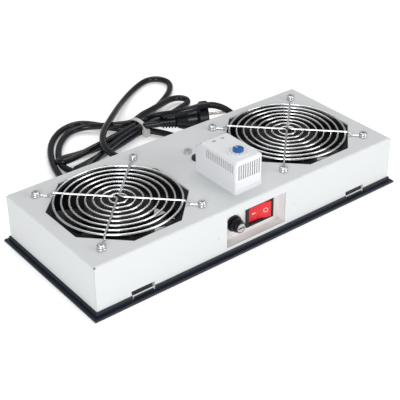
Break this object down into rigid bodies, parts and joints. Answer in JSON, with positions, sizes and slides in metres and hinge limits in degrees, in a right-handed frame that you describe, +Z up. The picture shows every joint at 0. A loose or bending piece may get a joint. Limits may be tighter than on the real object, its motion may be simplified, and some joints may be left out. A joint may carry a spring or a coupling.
{
  "type": "rack fan tray",
  "caption": "Cabinet roof fan tray: folded steel box open below, axial fans under wire guards, thermostat, switch, fuse holder and mains cord.",
  "frame": {"origin": "centre of the underside of the edge trim, on which the tray stands, midway between the two fans", "axes": "+X along the tray from the left fan to the right fan, +Z up out of the cabinet, -Y towards the switch and fuse side"},
  "size_m": [0.354, 0.3428, 0.0861],
  "materials": {
    "black_plastic": "satin",
    "black_rubber": "matte",
    "black_trim": "satin",
    "blue_plastic": "satin",
    "chrome_wire": "polished",
    "cord_pvc": "gloss",
    "dark_plastic": "satin",
    "fan_casting": "matte",
    "fan_plastic": "satin",
    "fuse_glass": "clear",
    "nickel": "polished",
    "nylon": "satin",
    "painted_sheet": "satin",
    "panel_sheet": "satin",
    "red_plastic": "gloss",
    "spring_brass": "satin",
    "steel": "satin",
    "white_plastic": "satin",
    "winding": "satin",
    "wire_insulation": "satin",
    "zinc": "satin"
  },
  "bodies": {
    "tray": {"cable_gland": "black_plastic", "cable_tie": "nylon", "cord_hank": "cord_pvc", "earth_lug": "spring_brass", "earth_nut": "zinc", "earth_screw": "zinc", "fan_leads": "wire_insulation", "front_left_clip": "black_plastic", "front_right_clip": "black_plastic", "fuse_holder_body": "black_plastic", "fuse_holder_nut": "black_plastic", "fuse_terminals": "spring_brass", "gland_locknut": "black_plastic", "housing": "painted_sheet", "left_fan_bearings": "steel", "left_fan_frame": "fan_casting", "left_fan_stator": "winding", "left_finger_guard": "chrome_wire", "left_guard_nuts": "zinc", "left_guard_screws": "zinc", "mains_cord_end": "cord_pvc", "mains_cord_fold": "cord_pvc", "mains_cord_lead": "cord_pvc", "mains_cord_loop": "cord_pvc", "mains_cord_tail": "cord_pvc", "mains_plug": "cord_pvc", "mains_wires": "wire_insulation", "plug_pins": "nickel", "rear_left_clip": "black_plastic", "rear_right_clip": "black_plastic", "right_fan_bearings": "steel", "right_fan_frame": "fan_casting", "right_fan_stator": "winding", "right_finger_guard": "chrome_wire", "right_guard_nuts": "zinc", "right_guard_screws": "zinc", "switch_body": "black_plastic", "switch_panel": "panel_sheet", "switch_terminals": "spring_brass", "terminal_block": "nylon", "thermostat_base": "white_plastic", "thermostat_bimetal": "spring_brass", "thermostat_cover": "white_plastic", "thermostat_fixing_screws": "zinc", "thermostat_terminal_screws": "zinc", "thermostat_terminals": "dark_plastic", "top_grommet": "black_rubber", "trim_front": "black_trim", "trim_left": "black_trim", "trim_rear": "black_trim", "trim_right": "black_trim"},
    "left_rotor": {"left_impeller": "fan_plastic", "left_fan_shaft": "steel"},
    "right_rotor": {"right_impeller": "fan_plastic", "right_fan_shaft": "steel"},
    "rocker": {"switch_rocker": "red_plastic"},
    "dial": {"thermostat_dial": "blue_plastic"},
    "fuse_drawer": {"fuse_carrier": "dark_plastic", "fuse_link": "fuse_glass"},
    "fuse_cap": {"fuse_cap": "black_plastic"}
  },
  "joints": [
    {"name": "left_fan_spin", "type": "hinge", "parent": "tray", "child": "left_rotor", "pos_m": [-0.1, 0, 0.03], "axis": [0, 0, 1], "continuous": true},
    {"name": "right_fan_spin", "type": "hinge", "parent": "tray", "child": "right_rotor", "pos_m": [0.1, 0, 0.03], "axis": [0, 0, 1], "continuous": true},
    {"name": "rocker_tilt", "type": "hinge", "parent": "tray", "child": "rocker", "pos_m": [0.011, -0.0585, 0.0252], "axis": [0, 0, 1], "range_deg": [0, 20]},
    {"name": "dial_turn", "type": "hinge", "parent": "tray", "child": "dial", "pos_m": [0.001, -0.0425, 0.08], "axis": [0, 0, 1], "range_deg": [0, 300]},
    {"name": "fuse_drawer_slide", "type": "slide", "parent": "tray", "child": "fuse_drawer", "axis": [0, -1, 0], "range_m": [0, 0.03]},
    {"name": "fuse_cap_turn", "type": "hinge", "parent": "fuse_drawer", "child": "fuse_cap", "pos_m": [-0.0195, -0.066, 0.0252], "axis": [0, 1, 0], "range_deg": [0, 90]}
  ]
}
